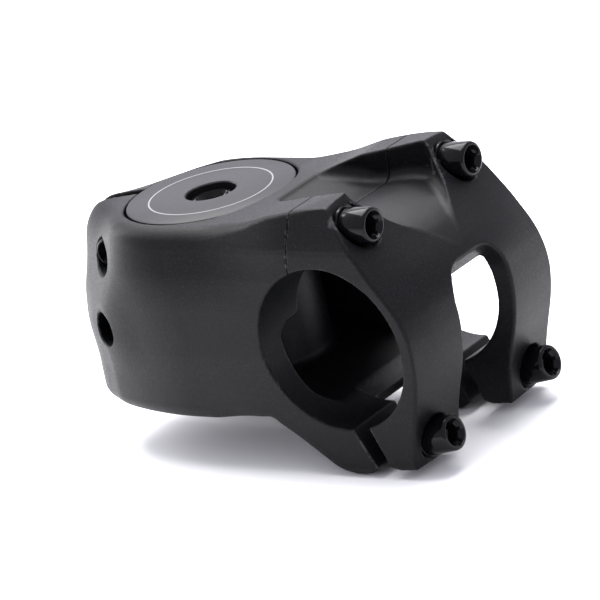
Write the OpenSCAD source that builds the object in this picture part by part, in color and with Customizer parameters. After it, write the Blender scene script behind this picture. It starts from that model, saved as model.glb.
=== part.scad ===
// Bicycle handlebar stem with a removable faceplate, short reach, for a threadless steerer.
// Millimetres. Origin on the steerer axis at the stem's bottom face, +X towards the bar, +Z up.

/* [Steerer clamp] */
// Diameter of the steerer tube
steerer_d = 28.6; // [28.6:0.1:28.8]
// Height of the stem on the steerer, from its bottom face to its top face
clamp_h = 41.5; // [41:0.5:43]
// Distance from the steerer axis to the back of the clamp
clamp_back = 34; // [33:0.5:35]
// Width of the slit at the back of the clamp
slit_w = 2.6; // [2:0.2:3]

/* [Bar clamp] */
// Distance from the steerer axis to the bar axis
reach = 42.7; // [42:0.1:44]
// Height of the bar axis over the bottom face
bar_z = 17.5; // [17:0.5:18]
// Diameter of the handlebar
bar_d = 35; // [34.8:0.1:35]
// Widest part of the stem across the bar clamp
clamp_w = 50.8; // [50:0.2:52]
// Half of the open width between the two arms and between the faceplate's legs
arm_inner_y = 9.3; // [9:0.2:10]
// Height of the faceplate opening's round top over the bar axis
opening_top = 13; // [12:0.5:13.5]

/* [Top cap] */
// Diameter of the top cap
cap_d = 36.2; // [35.6:0.2:36.2]
// Thickness of the top cap's disc
cap_t = 2.6; // [2.2:0.2:2.8]
// Diameter of the recess for the cap bolt's head
cap_bolt_recess_d = 10.8; // [10.4:0.2:11.2]
// Length of the cap bolt under its head
cap_bolt_len = 20; // [16:1:20]

/* [Clamp bolts] */
// Thread diameter of the clamp bolts
bolt_d = 5; // [5:0.5:5]
// Head diameter of the clamp bolts
bolt_head_d = 7.4; // [7:0.1:7.6]
// Head height of the clamp bolts
bolt_head_h = 6.4; // [6:0.2:7]
// Length of the clamp bolts under the head
bolt_len = 16; // [14:1:16]
// Width across the flats of the clamp bolts' hexagon sockets
bolt_hex = 4; // [3:0.5:4]
// Thickness of the washers under the bolt heads
washer_t = 0.8; // [0.6:0.1:1]

/* [Hidden] */
$fn = 96;

// Colours
anodised = "#2b2b30";
black_steel = "#17171a";
cap_grey = "#36363a";

// General
over = 1;                      // overrun of every cut past the face that it opens
steerer_r = steerer_d / 2;
bar_r = bar_d / 2;
bar_relief_r = bar_r + 0.3;
half_w = clamp_w / 2;
front_x = reach + 22.25;       // front of the faceplate on the centre plane
crown_r = 127;                 // radius of the faceplate's front in plan
back_r = 20;                   // radius of the clamp's back and of its corners in plan

// Ridges that lead from the clamp's top to the faceplate
ridge_start_x = 15;
ridge_mid_x = reach - 5;
ridge_end_x = reach + 4.2;
ridge_mid_z = bar_z + 28.5;
ridge_end_z = bar_z + 30.1;

// Scoop between the ridges
scoop_back_x = 21.8;
scoop_r = 22.2;                // its floor runs round the bar at this radius
scoop_ramp_x = reach - 7.7;
scoop_ramp_z = bar_z + 20.8;

// Pocket between the two clamps
pocket_wall_r = steerer_r + 3.8;
pocket_floor_z = bar_z - 15.6;
pocket_floor_rise = 4.2;       // towards the steerer
pocket_roof_z = bar_z + 14;
pocket_low_y = 18.4;
pocket_high_y = 11.5;

// Steerer bore: the clamping band at the bottom, a relief groove, and the band at the top
low_band_h = 13;
groove_top = 26;
groove_r = steerer_r + 0.6;
recess_r = cap_d / 2 + 0.5;
recess_depth = cap_t + 0.2;

// Window in the faceplate: inner edge of its top, which slopes up to the front
window_top_z = bar_z + 7.1;
window_top_x = reach + 16;
window_top_slope = 1.05;

// Top cap and its bolt
cap_top_z = clamp_h;
cap_bottom_z = cap_top_z - cap_t;
cap_cup_r = 8.6;
cap_cup_h = 5.2;
cap_seat_h = 2;
cap_bolt_d = 6;
cap_bolt_head_d = 9.8;
cap_bolt_head_h = 4.6;
cap_bolt_hex = 5;
cap_seat_z = cap_bottom_z - cap_cup_h + cap_seat_h;

// Faceplate bolts: centre of the washer's seat, and how far the head end is tilted up
bolt_y = 17.8;
top_tilt = 2;
bottom_tilt = 12;
head_end = washer_t + bolt_head_h;
top_head_x = reach + 12.4;
top_head_z = bar_z + 24.5;
bottom_head_x = reach + 20.7;
bottom_head_z = bar_z - 20.1;
thread_hole_r = bolt_d / 2 + 0.03;
shank_r = bolt_d / 2 - 0.02;
clear_r = bolt_d / 2 + 0.4;
washer_r = 4.1;
spot_r = 4.5;
thread_depth = bolt_len + 1.4;

// Pinch bolts, along Y behind the steerer, both with their heads on the right
pinch_x = -20;
pinch_upper_z = bar_z + 15;
pinch_lower_z = bar_z + 0.6;
pinch_head_h = 5;
pinch_head_d = 6.6;
pinch_seat_y = 7.4;
pinch_spot_r = pinch_head_d / 2 + 0.3;
pinch_washer_r = pinch_head_d / 2 + 0.1;
pinch_thread_end_y = 10.4;

// Slanted flanks of the clamp, through a point beside the upper pinch bolt
flank_azimuth = 52;            // from the back, towards the side
flank_tilt = 14;
flank_y = 15.4;

// ---- helpers ----

// Points of an arc about c with radius r, from angle a0 to a1
function arc(c, r, a0, a1, steps = 10) =
    [for (i = [0:steps]) c + r * [cos(a0 + (a1 - a0) * i / steps), sin(a0 + (a1 - a0) * i / steps)]];

// Extrudes an XZ outline across the stem, w wide about the centre plane
module along_y(w) {
    translate([0, w / 2, 0]) rotate([90, 0, 0]) linear_extrude(w) children();
}

// Extrudes a YZ outline along +X from x0, l long
module along_x(x0, l) {
    translate([x0, 0, 0]) rotate([90, 0, 90]) linear_extrude(l) children();
}

// Puts a thing that points along +Z at a faceplate bolt's head end, with +Z out of the head
module at_bolt(x, z, side, tilt) {
    translate([x, side * bolt_y, z]) rotate([0, 90 - tilt, 0]) children();
}

// Puts a thing at every faceplate bolt
module at_all_bolts() {
    for (side = [-1, 1]) {
        at_bolt(top_head_x, top_head_z, side, top_tilt) children();
        at_bolt(bottom_head_x, bottom_head_z, side, bottom_tilt) children();
    }
}

// Puts a thing that points along +Z at a pinch bolt's seat, with +Z out of the head
module at_pinch(z) {
    translate([pinch_x, -pinch_seat_y, z]) rotate([90, 0, 0]) children();
}

// A socket head bolt whose head ends at z = 0 and whose shank points down
module socket_bolt(head_d, head_h, hex, shank, len) {
    socket_depth = head_h * 0.6;
    chamfer = 0.5;
    difference() {
        union() {
            translate([0, 0, -head_h]) cylinder(d = head_d, h = head_h - chamfer);
            translate([0, 0, -chamfer]) cylinder(d1 = head_d, d2 = head_d - 2 * chamfer, h = chamfer);
            translate([0, 0, -head_h - len]) cylinder(r = shank, h = len + over / 10);
        }
        translate([0, 0, -socket_depth]) cylinder(d = hex / cos(30), h = socket_depth + over, $fn = 6);
    }
}

// ---- outlines ----

// Side view of the whole stem, body and faceplate together
module side_outline() {
    polygon([
        [-clamp_back + 3.4, 0], [-clamp_back + 2.4, 8], [-clamp_back + 0.6, 14], [-clamp_back, 21],
        [-clamp_back + 0.8, bar_z + 14.5], [-clamp_back + 2.4, bar_z + 18.5], [-clamp_back + 5, bar_z + 21.2],
        [-clamp_back + 11, clamp_h], [ridge_start_x, clamp_h], [ridge_start_x + 9, clamp_h + 1.7],
        [ridge_mid_x, ridge_mid_z], [ridge_end_x, ridge_end_z],
        [front_x - 13.2, bar_z + 24], [front_x - 7.4, bar_z + 17.7], [front_x - 3, bar_z + 12.8],
        [front_x - 0.5, bar_z + 8.5], [front_x, bar_z + 3], [front_x - 0.2, bar_z - 1.5],
        [front_x - 2, bar_z - 9], [front_x - 4.2, bar_z - 14.5], [front_x - 6.8, bar_z - 25],
        [front_x - 8.4, bar_z - 25.9], [front_x - 12, bar_z - 26.4], [reach + 8, bar_z - 25.9],
        [reach + 3.9, bar_z - 26.2], [reach + 1.5, bar_z - 27.8], [reach - 1.5, bar_z - 28.2],
        [reach - 4.2, bar_z - 27.7], [reach - 9, bar_z - 24], [reach - 14, bar_z - 20],
        [reach - 19.7, bar_z - 15.7], [8, 0]
    ]);
}

// Plan view of the whole stem
module plan_outline() {
    corner_y = half_w - back_r;
    corner_x = back_r - clamp_back + 3.6;
    crown_angle = asin(half_w / crown_r);
    polygon(concat(
        arc([corner_x, corner_y], back_r, 90, 150, 8),
        arc([back_r - clamp_back, 0], back_r, 150, 210, 8),
        arc([corner_x, -corner_y], back_r, 210, 270, 8),
        arc([front_x - crown_r, 0], crown_r, -crown_angle, crown_angle)
    ));
}

// Front view of the whole stem: its sides lean in towards the ridges and the arms' bottoms
module front_outline() {
    right = [
        [half_w - 2.4, bar_z - 29], [half_w - 0.9, bar_z - 26], [half_w - 0.7, bar_z - 14],
        [half_w - 0.1, bar_z - 3], [half_w, bar_z + 14], [half_w - 0.7, bar_z + 21.6],
        [half_w - 1.9, bar_z + 24.6], [half_w - 4, bar_z + 29.1], [14, bar_z + 30.4]
    ];
    polygon(concat(right, [for (i = [len(right) - 1:-1:0]) [-right[i][0], right[i][1]]]));
}

// ---- cuts ----

// Everything outside one of the slanted flanks at the back of the clamp
module outside_flank(side) {
    size = 4 * clamp_back;
    translate([pinch_x, side * flank_y, pinch_upper_z])
        rotate([0, 90 - flank_tilt, 180 - side * flank_azimuth])
            translate([-size / 2, -size / 2, 0]) cube(size);
}

// Scoop between the ridges, with its tip on the faceplate's front
module scoop() {
    tip_x = front_x + 0.5;
    plan = [
        [scoop_back_x, 7.4], [scoop_back_x + 9, 12.4], [ridge_mid_x, 12.9], [ridge_end_x, 14.3], [tip_x, 0]
    ];
    difference() {
        linear_extrude(3 * clamp_h)
            polygon(concat(plan, [for (i = [len(plan) - 2:-1:0]) [plan[i][0], -plan[i][1]]]));
        translate([reach, 0, bar_z]) along_y(2 * clamp_w) circle(r = scoop_r);
        along_y(2 * clamp_w) polygon([
            [scoop_back_x - over, 0], [scoop_back_x - over, 43.1], [scoop_back_x, 42.9],
            [scoop_ramp_x, scoop_ramp_z], [reach, scoop_ramp_z], [reach, 0]
        ]);
        translate([reach, -clamp_w, -clamp_h]) cube([2 * reach, 2 * clamp_w, clamp_h + bar_z]);
    }
}

// Pocket that opens into the bar bore, wide below and narrower above
module pocket() {
    front = reach - 3;
    difference() {
        union() {
            along_y(2 * pocket_low_y) polygon([
                [steerer_r, pocket_floor_z + pocket_floor_rise], [reach - 7.7, pocket_floor_z],
                [front, pocket_floor_z], [front, bar_z], [steerer_r, bar_z]
            ]);
            translate([steerer_r, -pocket_high_y, bar_z - over])
                cube([front - steerer_r - 3, 2 * pocket_high_y, pocket_roof_z - bar_z + over]);
        }
        cylinder(r = pocket_wall_r, h = 2 * clamp_h);
    }
}

// Open space between the arms, below the web, and between the faceplate's legs
module leg_gap() {
    arch_z = bar_z + opening_top - arm_inner_y;
    web_front_x = reach - 4.6;
    // through the faceplate, with an arched top that slopes down inwards
    intersection() {
        along_x(reach, reach) union() {
            translate([0, arch_z]) circle(r = arm_inner_y);
            translate([-arm_inner_y, bar_z - 40]) square([2 * arm_inner_y, arch_z - bar_z + 40]);
        }
        along_y(2 * clamp_w) polygon([
            for (x = [reach - 1, window_top_x + 20]) [x, window_top_z + (x - window_top_x) * window_top_slope],
            [window_top_x + 20, bar_z - 40], [reach - 1, bar_z - 40]
        ]);
    }
    // in front of the web and under it
    translate([web_front_x, -arm_inner_y, bar_z - 40]) cube([reach, 2 * arm_inner_y, 40]);
    along_y(2 * arm_inner_y) polygon([
        [reach - 24, bar_z - 40], [reach - 24, -0.01], [web_front_x, bar_z - 19], [reach + 5, bar_z - 19],
        [reach + 5, bar_z - 40]
    ]);
}

// The bar's bore: a clamping wall at each arm, relieved between them
module bar_bore() {
    translate([reach, 0, bar_z]) {
        along_y(clamp_w + 2 * over) circle(r = bar_r);
        along_y(2 * arm_inner_y) circle(r = bar_relief_r);
    }
}

// Everything in front of the seam: the faceplate's side of the joint, gap left out
module faceplate_side() {
    along_y(2 * clamp_w) polygon([
        [reach - 4.95, bar_z + 31], [reach - 6.35, bar_z + 16.2], [reach, bar_z],
        [reach + 4.9, bar_z - 17.5], [reach + 8.3, bar_z - 27], [reach + 8.3, bar_z - 40],
        [2 * reach, bar_z - 40], [2 * reach, bar_z + 40], [reach - 4.1, bar_z + 40]
    ]);
}

// Everything behind the seam: the body's side of the joint, gap left out
module body_side() {
    along_y(2 * clamp_w) polygon([
        [reach - 4.95, bar_z + 31], [reach - 6.35, bar_z + 16.2], [reach, bar_z],
        [reach + 0.6, bar_z - 17.5], [reach + 5, bar_z - 27], [reach + 5, bar_z - 40],
        [-reach, bar_z - 40], [-reach, bar_z + 40], [reach - 4.1, bar_z + 40]
    ]);
}

// Outer form of body and faceplate together
module blank() {
    difference() {
        intersection() {
            along_y(2 * clamp_w) side_outline();
            translate([0, 0, -clamp_h]) linear_extrude(3 * clamp_h) plan_outline();
            along_x(-reach, 3 * reach) front_outline();
        }
        outside_flank(-1);
        outside_flank(1);
    }
}

// Steerer bore with its relief groove and the recess for the top cap
module steerer_bore() {
    translate([0, 0, -over]) cylinder(r = steerer_r, h = clamp_h + 2 * over);
    translate([0, 0, low_band_h]) cylinder(r = groove_r, h = groove_top - low_band_h);
    translate([0, 0, clamp_h - recess_depth]) cylinder(r = recess_r, h = recess_depth + over);
}

// Holes of one pinch bolt: counterbore on the head's side, thread on the other
module pinch_hole(z) {
    at_pinch(z) {
        cylinder(r = pinch_spot_r, h = clamp_w);
        translate([0, 0, -pinch_seat_y]) cylinder(r = clear_r, h = pinch_seat_y + over);
        translate([0, 0, -pinch_seat_y - pinch_thread_end_y])
            cylinder(r = thread_hole_r, h = pinch_thread_end_y + over);
    }
}

// ---- sub-parts ----

module stem_body() {
    color(anodised) difference() {
        intersection() {
            blank();
            body_side();
        }
        steerer_bore();
        translate([-2 * clamp_back, -slit_w / 2, -over]) cube([2 * clamp_back, slit_w, clamp_h + 2 * over]);
        pinch_hole(pinch_upper_z);
        pinch_hole(pinch_lower_z);
        pocket();
        scoop();
        leg_gap();
        bar_bore();
        at_all_bolts() translate([0, 0, -head_end - thread_depth]) cylinder(r = thread_hole_r, h = thread_depth);
    }
}

module faceplate() {
    color(anodised) difference() {
        intersection() {
            blank();
            faceplate_side();
        }
        scoop();
        leg_gap();
        bar_bore();
        at_all_bolts() {
            translate([0, 0, -head_end]) cylinder(r = spot_r, h = 2 * head_end);
            translate([0, 0, -head_end - bolt_len]) cylinder(r = clear_r, h = bolt_len + over);
        }
    }
}

module top_cap() {
    edge = 0.4;
    color(cap_grey) difference() {
        union() {
            translate([0, 0, cap_bottom_z]) cylinder(d = cap_d, h = cap_t - edge);
            translate([0, 0, cap_top_z - edge]) cylinder(d1 = cap_d, d2 = cap_d - 2 * edge, h = edge);
            translate([0, 0, cap_bottom_z - cap_cup_h]) cylinder(r = cap_cup_r, h = cap_cup_h + over);
        }
        translate([0, 0, cap_seat_z]) cylinder(d = cap_bolt_recess_d, h = clamp_h);
        translate([0, 0, cap_bottom_z - cap_cup_h - over]) cylinder(d = cap_bolt_d + 0.1, h = clamp_h);
    }
}

module top_cap_bolt() {
    color(black_steel) translate([0, 0, cap_seat_z + cap_bolt_head_h])
        socket_bolt(cap_bolt_head_d, cap_bolt_head_h, cap_bolt_hex, cap_bolt_d / 2 - 0.02, cap_bolt_len);
}

module washer(r) {
    difference() {
        cylinder(r = r, h = washer_t);
        translate([0, 0, -over]) cylinder(r = shank_r + 0.05, h = washer_t + 2 * over);
    }
}

module face_washer(x, z, side, tilt) {
    color(black_steel) at_bolt(x, z, side, tilt) translate([0, 0, -head_end]) washer(washer_r);
}

module face_bolt(x, z, side, tilt) {
    color(black_steel) at_bolt(x, z, side, tilt)
        socket_bolt(bolt_head_d, bolt_head_h, bolt_hex, shank_r, bolt_len);
}

module washer_top_right() { face_washer(top_head_x, top_head_z, -1, top_tilt); }
module washer_top_left() { face_washer(top_head_x, top_head_z, 1, top_tilt); }
module washer_bottom_right() { face_washer(bottom_head_x, bottom_head_z, -1, bottom_tilt); }
module washer_bottom_left() { face_washer(bottom_head_x, bottom_head_z, 1, bottom_tilt); }
module bolt_top_right() { face_bolt(top_head_x, top_head_z, -1, top_tilt); }
module bolt_top_left() { face_bolt(top_head_x, top_head_z, 1, top_tilt); }
module bolt_bottom_right() { face_bolt(bottom_head_x, bottom_head_z, -1, bottom_tilt); }
module bolt_bottom_left() { face_bolt(bottom_head_x, bottom_head_z, 1, bottom_tilt); }

module pinch_washer(z) {
    color(black_steel) at_pinch(z) washer(pinch_washer_r);
}

module pinch_bolt(z) {
    color(black_steel) at_pinch(z) translate([0, 0, washer_t + pinch_head_h])
        socket_bolt(pinch_head_d, pinch_head_h, bolt_hex, shank_r, bolt_len);
}

module pinch_washer_upper() { pinch_washer(pinch_upper_z); }
module pinch_washer_lower() { pinch_washer(pinch_lower_z); }
module pinch_bolt_upper() { pinch_bolt(pinch_upper_z); }
module pinch_bolt_lower() { pinch_bolt(pinch_lower_z); }

stem_body();
faceplate();
top_cap();
top_cap_bolt();
washer_top_right();
washer_top_left();
washer_bottom_right();
washer_bottom_left();
bolt_top_right();
bolt_top_left();
bolt_bottom_right();
bolt_bottom_left();
pinch_washer_upper();
pinch_washer_lower();
pinch_bolt_upper();
pinch_bolt_lower();
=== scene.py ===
"""Looks of the handlebar stem: smooth machined forms, bolts with threads, black anodised finish.

The two big pieces are built from signed distances in millimetres, so that every edge gets its small
round and every pocket its fillet, and are then meshed. Lengths are millimetres up to the mesh.
"""

import math

import bpy
import numpy as np
from mathutils import Matrix, Vector


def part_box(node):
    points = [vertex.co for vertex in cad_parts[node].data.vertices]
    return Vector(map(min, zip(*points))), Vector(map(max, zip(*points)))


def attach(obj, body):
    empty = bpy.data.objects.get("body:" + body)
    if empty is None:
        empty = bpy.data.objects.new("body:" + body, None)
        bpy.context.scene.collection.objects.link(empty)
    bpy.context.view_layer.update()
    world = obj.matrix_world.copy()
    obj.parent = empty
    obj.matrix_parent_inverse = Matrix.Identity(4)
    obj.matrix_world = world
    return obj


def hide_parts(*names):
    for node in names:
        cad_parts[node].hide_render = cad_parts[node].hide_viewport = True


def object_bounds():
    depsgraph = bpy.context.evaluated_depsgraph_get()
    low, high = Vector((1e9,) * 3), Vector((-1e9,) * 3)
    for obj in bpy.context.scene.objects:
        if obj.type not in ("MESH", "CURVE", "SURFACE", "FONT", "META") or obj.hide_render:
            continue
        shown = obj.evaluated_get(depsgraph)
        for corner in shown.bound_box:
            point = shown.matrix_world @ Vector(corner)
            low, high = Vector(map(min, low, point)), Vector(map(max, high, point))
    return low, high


MM = 0.001

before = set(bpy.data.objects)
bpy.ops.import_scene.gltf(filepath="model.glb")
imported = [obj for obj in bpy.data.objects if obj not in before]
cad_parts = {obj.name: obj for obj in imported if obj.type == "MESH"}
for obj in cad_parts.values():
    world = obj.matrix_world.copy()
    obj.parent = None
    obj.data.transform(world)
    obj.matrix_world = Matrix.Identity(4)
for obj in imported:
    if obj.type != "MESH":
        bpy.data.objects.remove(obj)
bounds_at_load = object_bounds()

# ---- camera ----

CAMERA_PLACE = (0.6897, -0.7917, 0.3676)
CAMERA_RIGHT = (0.7891, 0.5734, -0.2202)
CAMERA_UP = (-0.0241, 0.3872, 0.9217)
CAMERA_BACK = (0.6138, -0.7220, 0.3194)

camera_data = bpy.data.cameras.new("camera")
camera_data.lens = 318.5
camera_data.sensor_width = 36
camera_data.clip_end = 20
camera = bpy.data.objects.new("camera", camera_data)
bpy.context.scene.collection.objects.link(camera)
columns = Matrix((CAMERA_RIGHT, CAMERA_UP, CAMERA_BACK)).transposed()
camera.matrix_world = Matrix.Translation(CAMERA_PLACE) @ columns.to_4x4()
bpy.context.scene.camera = camera
bpy.context.scene.view_settings.view_transform = "Standard"

# ---- driving dimensions ----

STEERER_R = 14.3
CLAMP_H = 41.5
CLAMP_BACK = 34.0
REACH = 42.7
BAR_Z = 17.5
BAR_R = 17.5
HALF_W = 25.4
FRONT_X = REACH + 22.25
GAP_Y = 9.3
SLIT_W = 2.6
CELL = 0.42          # mesh cell of the distance fields

BOLT_Y = 17.8
TOP_BOLT = {"x": REACH + 12.4, "z": BAR_Z + 24.5, "tilt": math.radians(2)}
BOTTOM_BOLT = {"x": REACH + 20.7, "z": BAR_Z - 20.1, "tilt": math.radians(12)}
BOLT_LEN = 16.0
HEAD_R = 3.7
HEAD_H = 6.4
WASHER_T = 0.8
WASHER_R = 4.1
SPOT_R = 4.5
CLEAR_R = 2.9
THREAD_HOLE_R = 2.53
THREAD_PITCH = 0.8

PINCH_X = -20.0
PINCH_ZS = {"upper": BAR_Z + 15.0, "lower": BAR_Z + 0.6}
PINCH_SEAT_Y = 7.4
PINCH_HEAD_H = 5.0
PINCH_THREAD_END_Y = 9.6
PINCH_SPOT_R = 3.6
PINCH_HEAD_R = 3.3
FLANK_TILT = math.radians(14)       # the clamp's slanted rear flanks
FLANK_AZIMUTH = math.radians(52)
FLANK_Y = 15.4
BACK_LEAN = math.radians(10)        # the clamp's back leans in towards the top

CAP_R = 18.1
CAP_T = 2.6


# ---- distance helpers ----


def meet(a, b, r):
    """Both a and b, with the edge between them rounded to radius r."""
    sharp = np.maximum(a, b)
    corner = np.hypot(np.maximum(a + r, 0), np.maximum(b + r, 0)) - r
    return np.where((a > -r) & (b > -r), corner, sharp)


def soft_max(a, b, width):
    """Both a and b, where they are nearly parallel: blended over a width of their difference."""
    mix = np.maximum(width - np.abs(a - b), 0) / width
    return np.maximum(a, b) + mix * mix * width / 4


def join(a, b, r):
    """Either a or b, with a fillet of radius r between them."""
    return -meet(-a, -b, r)


def cut(a, b, r):
    """a without b, with the edge rounded to radius r."""
    return meet(a, -b, r)


def filleted(corners):
    """Points of an outline given as (u, v, fillet radius) corners."""
    count = len(corners)
    points = []
    for i, (u, v, r) in enumerate(corners):
        here = np.array([u, v], dtype=float)
        back = np.array(corners[i - 1][:2]) - here
        ahead = np.array(corners[(i + 1) % count][:2]) - here
        back_len = np.hypot(*back)
        ahead_len = np.hypot(*ahead)
        back /= back_len
        ahead /= ahead_len
        turn = math.pi - math.acos(max(-1.0, min(1.0, float(back @ ahead))))
        reach = min(r * math.tan(turn / 2), 0.49 * back_len, 0.49 * ahead_len)
        if reach < 0.02:
            points.append(here)
            continue
        steps = max(2, int(turn / math.radians(6)))
        for k in range(steps + 1):
            t = k / steps
            a = here + back * reach * (1 - t)
            b = here + ahead * reach * t
            points.append(a + (b - a) * t)
    return np.array(points)


def outline_distance(points, u, v):
    """Signed distance to a closed outline, negative inside. u and v may broadcast."""
    best = None
    inside = None
    for (u0, v0), (u1, v1) in zip(points, np.roll(points, -1, axis=0)):
        du, dv = u1 - u0, v1 - v0
        wu, wv = u - u0, v - v0
        t = np.clip((wu * du + wv * dv) / (du * du + dv * dv + 1e-12), 0, 1)
        d = (wu - t * du) ** 2 + (wv - t * dv) ** 2
        best = d if best is None else np.minimum(best, d)
        rise = dv if abs(dv) > 1e-9 else 1e-9
        crosses = ((v0 > v) != (v1 > v)) & (u < du * (v - v0) / rise + u0)
        inside = crosses if inside is None else inside ^ crosses
    return np.where(inside, -1, 1) * np.sqrt(best)


def slab(w, low, high):
    """Distance to the layer low < w < high."""
    return np.maximum(low - w, w - high)


def box_distance(x, y, z, low, high, r):
    """Distance to a box whose edges are rounded to radius r."""
    return meet(meet(slab(x, low[0], high[0]), slab(y, low[1], high[1]), r), slab(z, low[2], high[2]), r)


def mirrored(corners):
    """An outline's right half, as (u, v, r) with u > 0, and its mirror."""
    return corners + [(-u, v, r) for u, v, r in reversed(corners)]


# ---- outlines: (u, v, fillet radius) ----

SIDE = filleted([
    (-50, 0, 0), (-50, CLAMP_H, 0), (13, CLAMP_H, 30), (24, 43.0, 30), (31, 44.9, 20), (46.9, 47.6, 0.5),
    (51.6, 41.5, 0), (80, 41.5, 0), (80, -9, 0), (56.6, -8.6, 0.8), (52.8, -8.9, 1.2), (50.6, -8.4, 0.5),
    (46.7, -8.7, 0.8), (44.5, -10.2, 2), (41.2, -10.7, 5), (38.4, -10, 3), (28.7, -2.3, 8),
    (22.8, 1.8, 3), (7, 0, 12),
])
FRONT = filleted(mirrored([
    (22.8, -11.5, 0.5), (24.5, -8.5, 3), (24.7, 3.5, 20), (HALF_W, 15, 40), (HALF_W, 32, 20),
    (24.7, 39.1, 8), (21.4, 46.7, 0.8), (14, 48, 0.5),
]))
PLAN = filleted([
    (-CLAMP_BACK, 3.5, 12), (-CLAMP_BACK, -3.5, 12), (-32.2, -10, 12), (-27.5, -15.9, 14),
    (-20, -20.2, 16),
    (12, -33.3, 0), (75, -33.3, 0), (75, 33.3, 0), (12, 33.3, 0), (-20, 20.2, 16), (-27.5, 15.9, 14),
    (-32.2, 10, 12),
])
SCOOP_PLAN = filleted([
    (21.8, -7.4, 1.5), (31, -12.4, 4), (37.7, -12.9, 4), (46.9, -14.3, 3), (FRONT_X + 0.5, 0, 0),
    (46.9, 14.3, 3), (37.7, 12.9, 4), (31, 12.4, 4), (21.8, 7.4, 1.5),
])
FACEPLATE_SIDE = np.array([
    (REACH - 4.92, 48.5), (REACH - 6.32, 33.7), (REACH, BAR_Z), (REACH + 4.9, 0), (REACH + 8.3, -9.5),
    (REACH + 8.3, -30), (2 * REACH, -30), (2 * REACH, 60), (REACH - 4.07, 60),
])
BODY_SIDE = np.array([
    (REACH - 4.98, 48.5), (REACH - 6.38, 33.7), (REACH, BAR_Z), (REACH + 0.6, 0), (REACH + 5, -9.5),
    (REACH + 5, -30), (-2 * REACH, -30), (-2 * REACH, 60), (REACH - 4.13, 60),
])

# the faceplate's front: its centre profile and how far it falls back at the sides, over height
CROWN_Z = np.array([-9.0, 3.5, 13.5, 17.5, 21.4, 26, 30.5, 33.4, 35.2, 38.3, 42, 48])
CROWN_FALL = np.array([0.95, 0.95, 1.5, 1.75, 2.2, 3.4, 3.9, 2.9, 2.5, 1.5, 1.2, 1.2])
FRONT_CENTRE = np.array([
    (-9.0, 57.6), (-1.5, 59.1), (3.5, 60.8), (8.9, 63), (13.5, 64.3), (17.5, 64.9), (21.4, 64.93),
    (25.9, 64.5), (30.5, 62.0), (33.4, 59.2), (35.2, 57.4), (38.3, 54.4), (41.5, 51.6), (48, 46.6),
])


def smooth_lookup(z, zs, values, width=2.2):
    """Values over height, averaged over a small width so that no crease is left."""
    total = 0
    offsets = np.linspace(-width, width, 7)
    for offset in offsets:
        total = total + np.interp(z + offset, zs, values)
    return total / len(offsets)


# ---- the two big forms ----


def fade(w, start, end):
    """0 before start, 1 after end, smooth between."""
    t = np.clip((w - start) / (end - start), 0, 1)
    return t * t * (3 - 2 * t)


def blank(x, y, z):
    """Outer form of body and faceplate together."""
    flank = (
        -math.cos(FLANK_TILT) * math.cos(FLANK_AZIMUTH) * (x - PINCH_X)
        + math.cos(FLANK_TILT) * math.sin(FLANK_AZIMUTH) * (np.abs(y) - FLANK_Y)
        + math.sin(FLANK_TILT) * (z - PINCH_ZS["upper"])
    )
    back = -math.cos(BACK_LEAN) * (x + CLAMP_BACK) - math.sin(BACK_LEAN) * (z - 19)
    # a shallow swelling beside the lower pinch bolt
    bulge = fade(z, 8, 18) * (1 - fade(z, 22, 34)) * (1 - fade(x, -20, -6)) * fade(np.abs(y), 4, 11)
    around = soft_max(soft_max(outline_distance(PLAN, x, y), flank, 3), back, 1) - bulge
    # the sides lean in beside the cap, and a little towards the bottom
    shoulder = 2.9 * fade(z, 25, 45) * (1 - fade(x, 12, 36))
    waist = 0.3 * (1 - fade(z, -4, 22)) * (1 - fade(x, 3, 22))
    wall = soft_max(around, outline_distance(FRONT, y, z) + shoulder + waist, 5)
    top_edge = 2.2 + 6.5 * fade(-x, 8, 26) - 1.4 * fade(x, 14, 33)
    bottom_edge = 3.4 - 2.6 * fade(x, 12, 26)
    edge = bottom_edge + (top_edge - bottom_edge) * fade(z, 18, 24)
    return meet(wall, outline_distance(SIDE, x, z), edge)


def scoop(x, y, z):
    """Hollow between the two ridges on top."""
    floor_r = 22.2 + 0.65 * (np.maximum(x - 47, 0) / 12) ** 2
    floor = floor_r - np.hypot(x - REACH, z - BAR_Z)
    slope = math.atan2(42.9 - 38.3, 35 - 21.8)
    ramp = (38.3 - z) * math.cos(slope) - (x - 35) * math.sin(slope)
    above = meet(meet(floor, ramp, 2.5), 28.0 - z + 0 * x, 1)
    return meet(outline_distance(SCOOP_PLAN, x, y), above, 2.6)


def pocket(x, y, z):
    """Hollow behind the bar, wide below and narrower above."""
    # the low part's floor rises towards the steerer
    lifted = z + 0.2 * np.maximum(x - 35, -30)
    low = box_distance(x, y, lifted, (0, -18.4, BAR_Z - 15.6), (REACH - 3, 18.4, BAR_Z), 3.5)
    high = box_distance(x, y, z, (0, -11.5, BAR_Z - 12), (REACH - 6, 11.5, BAR_Z + 14), 4.5)
    wall = STEERER_R + 3.8 - np.hypot(x, y)
    return meet(join(low, high, 1.5), wall, 2)


def leg_gap(x, y, z):
    """Window through the faceplate, and the open space between the arms."""
    arch_z = BAR_Z + 13 - GAP_Y
    arch = np.where(z > arch_z, np.hypot(y, z - arch_z), np.abs(y)) - GAP_Y
    sloped_top = (z - BAR_Z - 7.1 - 1.05 * (x - REACH - 16)) * 0.69
    window = np.maximum(meet(arch, sloped_top, 1.2), REACH - x)
    web_front = REACH - 4.6
    across = np.abs(y) - GAP_Y
    front = meet(np.maximum(across, z - BAR_Z), web_front - x, 1.5)
    under_outline = np.array([
        (REACH - 24, -30), (REACH - 24, -0.01), (web_front, BAR_Z - 19), (REACH + 5, BAR_Z - 19),
        (REACH + 5, -30),
    ])
    under = np.maximum(across, outline_distance(under_outline, x, z))
    return np.minimum(np.minimum(window, front), under)


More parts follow.
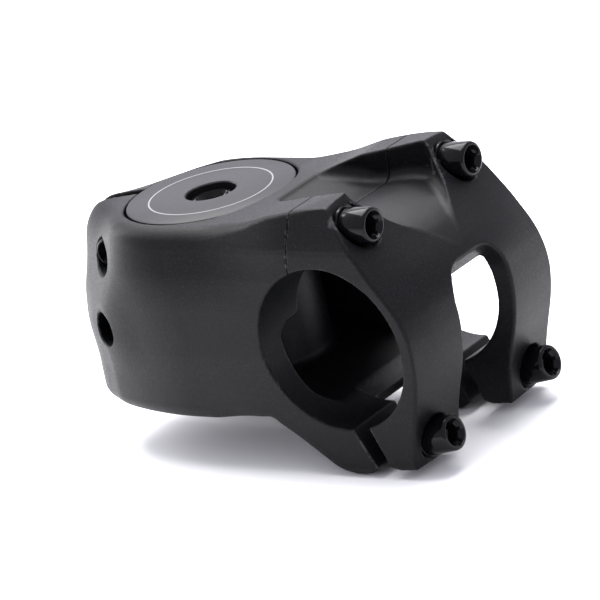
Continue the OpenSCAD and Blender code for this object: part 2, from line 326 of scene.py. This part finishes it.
def bar_bore(x, y, z):
    """The handlebar's bore, relieved between the arms."""
    relief = 0.3 * (1 - fade(np.abs(y), GAP_Y - 0.3, GAP_Y))
    return np.hypot(x - REACH, z - BAR_Z) - BAR_R - relief


def along_bolt(bolt, x, y, z):
    """Distance from a pair of faceplate bolts' axes, and height over their heads' ends."""
    dx, dz = x - bolt["x"], z - bolt["z"]
    height = dx * math.cos(bolt["tilt"]) + dz * math.sin(bolt["tilt"])
    across = -dx * math.sin(bolt["tilt"]) + dz * math.cos(bolt["tilt"])
    return np.hypot(np.abs(y) - BOLT_Y, across), height


def body_distance(x, y, z):
    """Stem body."""
    d = meet(blank(x, y, z), outline_distance(BODY_SIDE, x, z), 0.22)
    d = cut(d, scoop(x, y, z), 0.45)
    d = cut(d, pocket(x, y, z), 0.5)
    d = cut(d, leg_gap(x, y, z), 0.6)
    d = cut(d, bar_bore(x, y, z), 0.35)
    from_axis = np.hypot(x, y)
    d = cut(d, np.maximum(from_axis - STEERER_R, -5 - z), 0.5)
    d = cut(d, np.maximum(from_axis - STEERER_R - 0.6, slab(z, 13, 26)), 0.2)
    d = cut(d, np.maximum(from_axis - CAP_R - 0.5, CLAMP_H - CAP_T - 0.2 - z), 0.4)
    d = cut(d, np.maximum(np.abs(y) - SLIT_W / 2, x), 0.35)
    for pinch_z in PINCH_ZS.values():
        radius = np.hypot(x - PINCH_X, z - pinch_z)
        d = cut(d, np.maximum(radius - PINCH_SPOT_R, y + PINCH_SEAT_Y), 0.3)
        d = cut(d, np.maximum(radius - CLEAR_R, slab(y, -PINCH_SEAT_Y - 1, 0)), 0.1)
        d = cut(d, np.maximum(radius - THREAD_HOLE_R, slab(y, -0.5, PINCH_THREAD_END_Y)), 0.1)
    for bolt in (TOP_BOLT, BOTTOM_BOLT):
        radius, height = along_bolt(bolt, x, y, z)
        bottom = -HEAD_H - WASHER_T - BOLT_LEN - 1.4
        d = cut(d, np.maximum(radius - THREAD_HOLE_R, bottom - height), 0.25)
    return d


def faceplate_distance(x, y, z):
    """Faceplate."""
    centre = smooth_lookup(z, *FRONT_CENTRE.T)
    fall = smooth_lookup(z, CROWN_Z, CROWN_FALL)
    slope = (smooth_lookup(z + 0.5, *FRONT_CENTRE.T) - centre) / 0.5
    front = (x - centre + fall * (y / 25) ** 2) / np.sqrt(1 + slope**2)
    d = meet(blank(x, y, z), front, 0.55)
    d = meet(d, outline_distance(FACEPLATE_SIDE, x, z), 0.22)
    d = cut(d, scoop(x, y, z), 0.45)
    d = cut(d, leg_gap(x, y, z), 0.7)
    d = cut(d, bar_bore(x, y, z), 0.35)
    for bolt in (TOP_BOLT, BOTTOM_BOLT):
        radius, height = along_bolt(bolt, x, y, z)
        d = cut(d, np.maximum(radius - SPOT_R, -HEAD_H - WASHER_T - height), 0.35)
        d = cut(d, radius - CLEAR_R, 0.15)
    return d


# ---- meshing ----


def surface_net(distance, low, high):
    """Vertices and quads of the zero surface of a distance function inside a box."""
    low = np.array(low) - 2 * CELL
    counts = np.ceil((np.array(high) + 2 * CELL - low) / CELL).astype(int)
    xs, ys, zs = (low[i] + CELL * np.arange(counts[i]) for i in range(3))
    field = distance(xs[:, None, None], ys[None, :, None], zs[None, None, :])
    field = np.broadcast_to(field, counts)
    inside = field < 0
    corners = [(i, j, k) for i in (0, 1) for j in (0, 1) for k in (0, 1)]
    shape = tuple(counts - 1)

    def at(array, corner):
        i, j, k = corner
        return array[i:i + shape[0], j:j + shape[1], k:k + shape[2]]

    number_inside = sum(at(inside, c).astype(np.int8) for c in corners)
    cells = np.argwhere((number_inside > 0) & (number_inside < 8))
    index = -np.ones(shape, dtype=np.int64)
    index[tuple(cells.T)] = np.arange(len(cells))
    total = np.zeros((len(cells), 3))
    hits = np.zeros(len(cells))
    for a in corners:
        for axis in range(3):
            if a[axis]:
                continue
            b = list(a)
            b[axis] = 1
            fa = field[tuple((cells + a).T)]
            fb = field[tuple((cells + b).T)]
            crossed = (fa < 0) != (fb < 0)
            t = np.where(crossed, fa / np.where(crossed, fa - fb, 1), 0)
            point = np.array(a) + t[:, None] * (np.array(b) - a)
            total += point * crossed[:, None]
            hits += crossed
    vertices = low + CELL * (cells + total / hits[:, None])
    quads = []
    for axis in range(3):
        u, v = (axis + 1) % 3, (axis + 2) % 3
        before = np.take(inside, range(counts[axis] - 1), axis)
        after = np.take(inside, range(1, counts[axis]), axis)
        edges = np.argwhere(before != after)
        edges = edges[(edges[:, u] > 0) & (edges[:, v] > 0)]
        edges = edges[(edges[:, u] < shape[u]) & (edges[:, v] < shape[v])]
        leaves = before[tuple(edges.T)]
        ring = []
        for du, dv in ((-1, -1), (0, -1), (0, 0), (-1, 0)):
            cell = edges.copy()
            cell[:, u] += du
            cell[:, v] += dv
            ring.append(index[tuple(cell.T)])
        ring = np.stack(ring, axis=1)
        ring[~leaves] = ring[~leaves][:, ::-1]
        quads.append(ring)
    return vertices, np.concatenate(quads)


def gradient(distance, points, step=0.03):
    """Unit normals, the value, and the slope of a distance function at points."""
    value = distance(*points.T)
    slopes = np.empty_like(points)
    for axis in range(3):
        moved = points.copy()
        moved[:, axis] += step
        slopes[:, axis] = (distance(*moved.T) - value) / step
    size = np.maximum(np.linalg.norm(slopes, axis=1), 0.2)
    return slopes / size[:, None], value, size


def settle(distance, vertices):
    """Moves vertices onto the zero surface, and returns them with their normals."""
    for _ in range(3):
        normals, value, size = gradient(distance, vertices)
        move = np.clip(value / size, -CELL / 2, CELL / 2)
        vertices = vertices - normals * move[:, None]
    normals = gradient(distance, vertices)[0]
    return vertices, normals


def edge_wear_and_highlight(distance, vertices, normals, depth=0.5):
    """0 on flat ground, up to 1 on outer edges: how much nearer the surface is than depth below. It marks
    the edges both for wear and for a painted highlight.
    """
    below = vertices - normals * depth
    return np.clip((distance(*below.T) + depth) / (0.45 * depth), 0, 1)


def add_mesh(name, vertices, faces, normals=None, wear_and_highlight=None, material=None):
    """A mesh object from millimetre vertices."""
    mesh = bpy.data.meshes.new(name)
    mesh.from_pydata((np.asarray(vertices) * MM).tolist(), [], [tuple(f) for f in faces])
    mesh.validate()
    mesh.polygons.foreach_set("use_smooth", [True] * len(mesh.polygons))
    if normals is not None and len(mesh.vertices) == len(normals):
        mesh.normals_split_custom_set_from_vertices([tuple(n) for n in normals])
    if wear_and_highlight is not None:
        attribute = mesh.attributes.new("wear_and_highlight", "FLOAT", "POINT")
        attribute.data.foreach_set("value", wear_and_highlight.astype(np.float32))
    if material is not None:
        mesh.materials.append(material)
    obj = bpy.data.objects.new(name, mesh)
    bpy.context.scene.collection.objects.link(obj)
    return obj


def add_form(name, distance, node, material):
    """The finished form of one big CAD node, kept inside that node's box."""
    low, high = (np.array(corner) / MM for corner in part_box(node))
    vertices, quads = surface_net(distance, low, high)
    vertices, normals = settle(distance, vertices)
    vertices = np.clip(vertices, low, high)
    # edge mask: real edge wear and a painted highlight along the outer edges
    wear_and_highlight = edge_wear_and_highlight(distance, vertices, normals)
    return add_mesh(name, vertices, quads.tolist(), normals, wear_and_highlight, material)


# ---- round pieces ----


def turned(profile, segments=64, closed=False):
    """Vertices and faces of a profile of (radius, height) turned about +Z."""
    angles = np.linspace(0, 2 * math.pi, segments, endpoint=False)
    vertices = [(r * math.cos(a), r * math.sin(a), z) for r, z in profile for a in angles]
    faces = []
    rows = len(profile)
    for row in range(rows if closed else rows - 1):
        below, above = row * segments, (row + 1) % rows * segments
        for i in range(segments):
            j = (i + 1) % segments
            faces.append((below + i, below + j, above + j, above + i))
    return vertices, faces


def bolt_mesh(head_r, head_h, hex_flats, thread_r, length, pitch):
    """A socket head bolt along +Z with its head's end at z = 0 and a helical thread."""
    segments = 48
    angles = np.linspace(0, 2 * math.pi, segments, endpoint=False)
    hex_r = hex_flats / 2 / np.cos((angles + math.pi / 6) % (math.pi / 3) - math.pi / 6)
    lead_r = hex_r.max() + 0.42
    socket = 0.6 * head_h
    rows = []

    def row(radii, height):
        radii = np.broadcast_to(radii, segments)
        heights = np.full(segments, height)
        rows.append(np.stack([radii * np.cos(angles), radii * np.sin(angles), heights], 1))

    row(0.02, -socket - 0.9)
    row(hex_r * 0.94, -socket)
    row(hex_r, -socket + 0.1)
    row(hex_r, -1.1)
    row(np.maximum(hex_r, lead_r), -0.4)
    row(lead_r + 0.12, -0.08)
    row(lead_r + 0.2, 0)
    row(head_r - 0.6, 0)
    row(head_r - 0.42, -0.06)
    row(head_r - 0.14, -0.24)
    row(head_r, -0.62)
    row(head_r, -head_h + 0.25)
    row(head_r - 0.07, -head_h + 0.06)
    row(head_r - 0.2, -head_h)
    row(thread_r, -head_h)
    plain = 1.6
    row(thread_r, -head_h - plain)
    end = -head_h - length
    steps = int((length - plain) / (pitch / 8))
    for k in range(1, steps):
        height = -head_h - plain - k * (length - plain) / steps
        phase = (height / pitch - angles / (2 * math.pi)) % 1
        depth = 0.42 * np.abs(2 * phase - 1)
        taper = np.clip((height - end) / 0.9, 0, 1)
        row(np.minimum(thread_r - depth, thread_r - 0.5 * (1 - taper)), height)
    row(thread_r - 0.5, end + 0.05)
    row(thread_r - 0.9, end)
    vertices = np.concatenate(rows)
    faces = []
    for k in range(len(rows) - 1):
        for i in range(segments):
            j = (i + 1) % segments
            a, b = k * segments, (k + 1) * segments
            faces.append((a + j, a + i, b + i, b + j))
    faces.append(tuple(range(segments)))
    last = (len(rows) - 1) * segments
    faces.append(tuple(reversed(range(last, last + segments))))
    return vertices, faces


def add_round(name, vertices, faces, material, place):
    """A round piece at a place, with its steeper edges sharp."""
    turned_vertices = [place @ Vector(v) for v in np.asarray(vertices, dtype=float).tolist()]
    obj = add_mesh(name, turned_vertices, faces, material=material)
    obj.data.set_sharp_from_angle(angle=math.radians(38))
    return obj


def bolt_place(bolt, side):
    """Matrix that puts a bolt that points along +Z at its head's end, in millimetres."""
    turn = Matrix.Rotation(math.pi / 2 - bolt["tilt"], 4, "Y")
    return Matrix.Translation((bolt["x"], side * BOLT_Y, bolt["z"])) @ turn


def pinch_place(z, height):
    """Matrix that puts a thing that points along +Z at a pinch bolt's seat, height out."""
    turn = Matrix.Rotation(math.pi / 2, 4, "X")
    return Matrix.Translation((PINCH_X, -PINCH_SEAT_Y - height, z)) @ turn


# ---- materials ----


def new_material(name):
    """An empty node material with its Principled shader, and a helper that adds nodes."""
    material = bpy.data.materials.new(name)
    material.use_nodes = True
    tree = material.node_tree
    shader = tree.nodes["Principled BSDF"]

    def node(kind, inputs=None, **settings):
        made = tree.nodes.new(kind)
        for key, value in settings.items():
            setattr(made, key, value)
        for key, value in (inputs or {}).items():
            if isinstance(value, bpy.types.NodeSocket):
                tree.links.new(value, made.inputs[key])
            else:
                made.inputs[key].default_value = value
        return made

    return material, tree, shader, node


def mix_colour(node, factor, low, high):
    """A colour between low and high, each an (r, g, b, 1) or a socket."""
    inputs = {"Factor": factor, 6: low, 7: high}
    return node("ShaderNodeMix", inputs, data_type="RGBA").outputs[2]


def noise(node, coordinates, scale, detail=3.0, roughness=0.6):
    """A noise texture's value."""
    inputs = {"Vector": coordinates, "Scale": scale, "Detail": detail, "Roughness": roughness}
    return node("ShaderNodeTexNoise", inputs).outputs["Fac"]


def remap(node, value, low, high, to_low, to_high):
    """Maps a value from one range to another, clamped."""
    inputs = {"Value": value, "From Min": low, "From Max": high, "To Min": to_low, "To Max": to_high}
    return node("ShaderNodeMapRange", inputs).outputs["Result"]


def anodised_black():
    """Black anodising over a blasted grain, rubbed thin on the outer edges, which also carry a painted
    highlight.
    """
    material, tree, shader, node = new_material("anodised_black")
    coordinates = node("ShaderNodeTexCoord").outputs["Object"]
    grain = noise(node, coordinates, 2600, 2.0, 0.7)
    fine = noise(node, coordinates, 6500, 1.0, 0.5)
    cloud = noise(node, coordinates, 60, 4.0, 0.6)
    wear_and_highlight = node("ShaderNodeAttribute", attribute_name="wear_and_highlight").outputs["Fac"]
    rubbed = noise(node, coordinates, 420, 3.0, 0.7)
    patchy = remap(node, rubbed, 0.42, 0.62, 0.55, 1.0)
    worn_and_highlit = node("ShaderNodeMath", {0: wear_and_highlight, 1: patchy}, operation="MULTIPLY").outputs[0]
    # outer edges lightened in colour: partly worn anodising, partly a painted highlight
    worn_thin_and_highlit = remap(node, worn_and_highlit, 0.45, 1.0, 0.0, 0.26)
    sparkle = remap(node, fine, 0.62, 0.78, 0.0, 1.0)
    speckled = mix_colour(node, sparkle, (0.0022, 0.0022, 0.0030, 1), (0.030, 0.030, 0.035, 1))
    colour = mix_colour(node, worn_thin_and_highlit, speckled, (0.2, 0.2, 0.215, 1))
    rough_cloud = remap(node, cloud, 0.3, 0.7, -0.03, 0.03)
    rough_grain = remap(node, grain, 0.3, 0.7, 0.34, 0.50)
    rough = node("ShaderNodeMath", {0: rough_cloud, 1: rough_grain}, operation="ADD").outputs[0]
    grain_height = node("ShaderNodeMath", {0: grain, 1: fine}, operation="ADD").outputs[0]
    bump = node("ShaderNodeBump", {"Strength": 0.5, "Distance": 0.00006, "Height": grain_height})
    tree.links.new(colour, shader.inputs["Base Color"])
    tree.links.new(rough, shader.inputs["Roughness"])
    tree.links.new(bump.outputs["Normal"], shader.inputs["Normal"])
    tree.links.new(worn_thin_and_highlit, shader.inputs["Metallic"])
    shader.inputs["Specular IOR Level"].default_value = 0.12
    return material


def cap_black():
    """The cap's finer anodising with turning marks, and its thin silver ring."""
    material, tree, shader, node = new_material("cap_black")
    coordinates = node("ShaderNodeTexCoord").outputs["Object"]
    split = node("ShaderNodeSeparateXYZ", {0: coordinates})
    x_squared = node("ShaderNodeMath", {0: split.outputs[0], 1: 2.0}, operation="POWER").outputs[0]
    y_squared = node("ShaderNodeMath", {0: split.outputs[1], 1: 2.0}, operation="POWER").outputs[0]
    radius_squared = node("ShaderNodeMath", {0: x_squared, 1: y_squared}, operation="ADD").outputs[0]
    radius = node("ShaderNodeMath", {0: radius_squared, 1: 0.5}, operation="POWER").outputs[0]
    from_ring = node("ShaderNodeMath", {0: radius, 1: 13.2 * MM}, operation="SUBTRACT").outputs[0]
    distance = node("ShaderNodeMath", {0: from_ring}, operation="ABSOLUTE").outputs[0]
    on_ring = remap(node, distance, 0.13 * MM, 0.2 * MM, 1.0, 0.0)
    top = remap(node, split.outputs[2], (CLAMP_H - 0.1) * MM, (CLAMP_H - 0.05) * MM, 0.0, 1.0)
    ring = node("ShaderNodeMath", {0: on_ring, 1: top}, operation="MULTIPLY").outputs[0]
    grain = noise(node, coordinates, 3000, 2.0, 0.7)
    circles = node("ShaderNodeCombineXYZ", {0: radius}).outputs[0]
    marks = noise(node, circles, 5200, 2.0, 0.6)
    height = node("ShaderNodeMath", {0: grain, 1: marks}, operation="ADD").outputs[0]
    ring_colour = mix_colour(node, ring, (0.0045, 0.0045, 0.0058, 1), (0.2, 0.2, 0.21, 1))
    bump = node("ShaderNodeBump", {"Strength": 0.16, "Distance": 0.00005, "Height": height})
    rough = remap(node, grain, 0.3, 0.7, 0.36, 0.42)
    shader.inputs["Specular IOR Level"].default_value = 0.2
    tree.links.new(ring_colour, shader.inputs["Base Color"])
    tree.links.new(rough, shader.inputs["Roughness"])
    tree.links.new(bump.outputs["Normal"], shader.inputs["Normal"])
    return material


def black_steel():
    """Glossy black oxide on the bolts, with faint draw marks."""
    material, tree, shader, node = new_material("black_steel")
    coordinates = node("ShaderNodeTexCoord").outputs["Object"]
    grain = noise(node, coordinates, 1500, 3.0, 0.6)
    cloud = noise(node, coordinates, 260, 3.0, 0.6)
    rough = remap(node, cloud, 0.3, 0.7, 0.09, 0.16)
    tone = remap(node, grain, 0.3, 0.7, 0.0, 1.0)
    colour = mix_colour(node, tone, (0.0015, 0.0015, 0.002, 1), (0.004, 0.004, 0.005, 1))
    bump = node("ShaderNodeBump", {"Strength": 0.08, "Distance": 0.00004, "Height": grain})
    tree.links.new(colour, shader.inputs["Base Color"])
    tree.links.new(rough, shader.inputs["Roughness"])
    tree.links.new(bump.outputs["Normal"], shader.inputs["Normal"])
    shader.inputs["Specular IOR Level"].default_value = 0.14
    return material


# ---- build ----

anodised = anodised_black()
cap_finish = cap_black()
steel = black_steel()

for node_name, distance_function, slot_name in (
    ("stem_body", body_distance, "body"),
    ("faceplate", faceplate_distance, "faceplate"),
):
    piece = add_form(f"{node_name}_form", distance_function, node_name, anodised)
    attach(piece, "stem")
    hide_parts(node_name)

bolt_shape = bolt_mesh(HEAD_R, HEAD_H, 4, 2.48, BOLT_LEN, THREAD_PITCH)
pinch_bolt_shape = bolt_mesh(PINCH_HEAD_R, PINCH_HEAD_H, 4, 2.48, BOLT_LEN, THREAD_PITCH)


def washer_mesh(outer_r):
    """A flat washer with broken edges, from z = 0 up."""
    return turned([
        (2.56, 0.08), (2.64, 0), (outer_r - 0.12, 0), (outer_r, 0.12),
        (outer_r, WASHER_T - 0.16), (outer_r - 0.16, WASHER_T), (2.64, WASHER_T), (2.56, WASHER_T - 0.08),
    ], closed=True)


washer_shape = washer_mesh(WASHER_R)
pinch_washer_shape = washer_mesh(PINCH_HEAD_R + 0.1)

for row_name, bolt in (("top", TOP_BOLT), ("bottom", BOTTOM_BOLT)):
    for side_name, side in (("right", -1), ("left", 1)):
        name = f"{row_name}_{side_name}"
        place = bolt_place(bolt, side)
        bolt_piece = add_round(f"bolt_{name}_form", *bolt_shape, steel, place)
        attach(bolt_piece, f"bolt_{name}")
        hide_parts(f"bolt_{name}")
        seat = place @ Matrix.Translation((0, 0, -HEAD_H - WASHER_T))
        washer_piece = add_round(f"washer_{name}_form", *washer_shape, steel, seat)
        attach(washer_piece, f"washer_{name}")
        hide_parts(f"washer_{name}")

for name, pinch_z in PINCH_ZS.items():
    head_place = pinch_place(pinch_z, WASHER_T + PINCH_HEAD_H)
    bolt_piece = add_round(f"pinch_bolt_{name}_form", *pinch_bolt_shape, steel, head_place)
    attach(bolt_piece, f"pinch_bolt_{name}")
    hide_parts(f"pinch_bolt_{name}")
    seat = pinch_place(pinch_z, 0)
    washer_piece = add_round(f"pinch_washer_{name}_form", *pinch_washer_shape, steel, seat)
    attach(washer_piece, f"pinch_washer_{name}")
    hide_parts(f"pinch_washer_{name}")

cap_bottom = CLAMP_H - CAP_T
cap_shape = turned([
    (3.05, cap_bottom - 5.1), (3.15, cap_bottom - 5.2), (8.4, cap_bottom - 5.2), (8.6, cap_bottom - 5),
    (8.6, cap_bottom - 0.3), (8.9, cap_bottom), (CAP_R - 0.25, cap_bottom), (CAP_R, cap_bottom + 0.25),
    (CAP_R, CLAMP_H - 0.5), (CAP_R - 0.1, CLAMP_H - 0.2), (CAP_R - 0.45, CLAMP_H), (5.65, CLAMP_H),
    (5.4, CLAMP_H - 0.25), (5.4, cap_bottom - 3.2), (3.05, cap_bottom - 3.2),
], segments=128, closed=True)
cap_piece = add_round("top_cap_form", *cap_shape, cap_finish, Matrix.Identity(4))
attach(cap_piece, "cap")
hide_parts("top_cap")

cap_bolt_shape = bolt_mesh(4.9, 4.6, 5, 2.98, 20, 1.0)
cap_bolt_place = Matrix.Translation((0, 0, cap_bottom - 3.2 + 4.6))
cap_bolt_piece = add_round("top_cap_bolt_form", *cap_bolt_shape, steel, cap_bolt_place)
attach(cap_bolt_piece, "cap_bolt")
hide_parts("top_cap_bolt")

# ---- floor and light ----

floor_z = bounds_at_load[0][2]
floor_size = 4.0
floor_mesh = bpy.data.meshes.new("floor")
floor_corners = [
    (sx * floor_size, sy * floor_size, floor_z) for sx, sy in ((-1, -1), (1, -1), (1, 1), (-1, 1))
]
floor_mesh.from_pydata(floor_corners, [], [(0, 1, 2, 3)])
floor_material, _, floor_shader, _ = new_material("floor_white")
floor_shader.inputs["Base Color"].default_value = (0.93, 0.93, 0.94, 1)
floor_shader.inputs["Roughness"].default_value = 0.9
floor_shader.inputs["Specular IOR Level"].default_value = 0.0
floor_mesh.materials.append(floor_material)
floor = bpy.data.objects.new("floor", floor_mesh)
bpy.context.scene.collection.objects.link(floor)

world = bpy.data.worlds.new("studio")
world.use_nodes = True
world_nodes = world.node_tree.nodes
world_links = world.node_tree.links
direction = world_nodes.new("ShaderNodeTexCoord").outputs["Generated"]
toward_glow = world_nodes.new("ShaderNodeVectorMath")
toward_glow.operation = "DOT_PRODUCT"
toward_glow.inputs[1].default_value = (-0.55, 0.64, 0.53)
world_links.new(direction, toward_glow.inputs[0])
glow = world_nodes.new("ShaderNodeMapRange")
glow.interpolation_type = "SMOOTHSTEP"
glow.inputs["From Min"].default_value = 0.84
glow.inputs["From Max"].default_value = 0.985
glow.inputs["To Min"].default_value = 1.05
glow.inputs["To Max"].default_value = 2.3
world_links.new(toward_glow.outputs["Value"], glow.inputs["Value"])
sky = world_nodes["Background"]
sky.inputs["Color"].default_value = (0.92, 0.91, 1.0, 1)
world_links.new(glow.outputs["Result"], sky.inputs["Strength"])
bpy.context.scene.world = world


def softbox(name, place, target, size, watts):
    """A rectangular area light that faces a target, in metres."""
    light = bpy.data.lights.new(name, "AREA")
    light.shape = "RECTANGLE"
    light.size, light.size_y = size
    light.energy = watts
    obj = bpy.data.objects.new(name, light)
    bpy.context.scene.collection.objects.link(obj)
    obj.location = place
    obj.rotation_euler = (Vector(target) - obj.location).to_track_quat("-Z", "Y").to_euler()


OBJECT_MIDDLE = (0.015, 0, 0.02)
softbox("overhead", (-0.2, 0.3, 1.0), OBJECT_MIDDLE, (1.0, 1.0), 32)
softbox("left_strip", (-0.8, 0.05, 0.35), OBJECT_MIDDLE, (0.2, 0.7), 3.5)
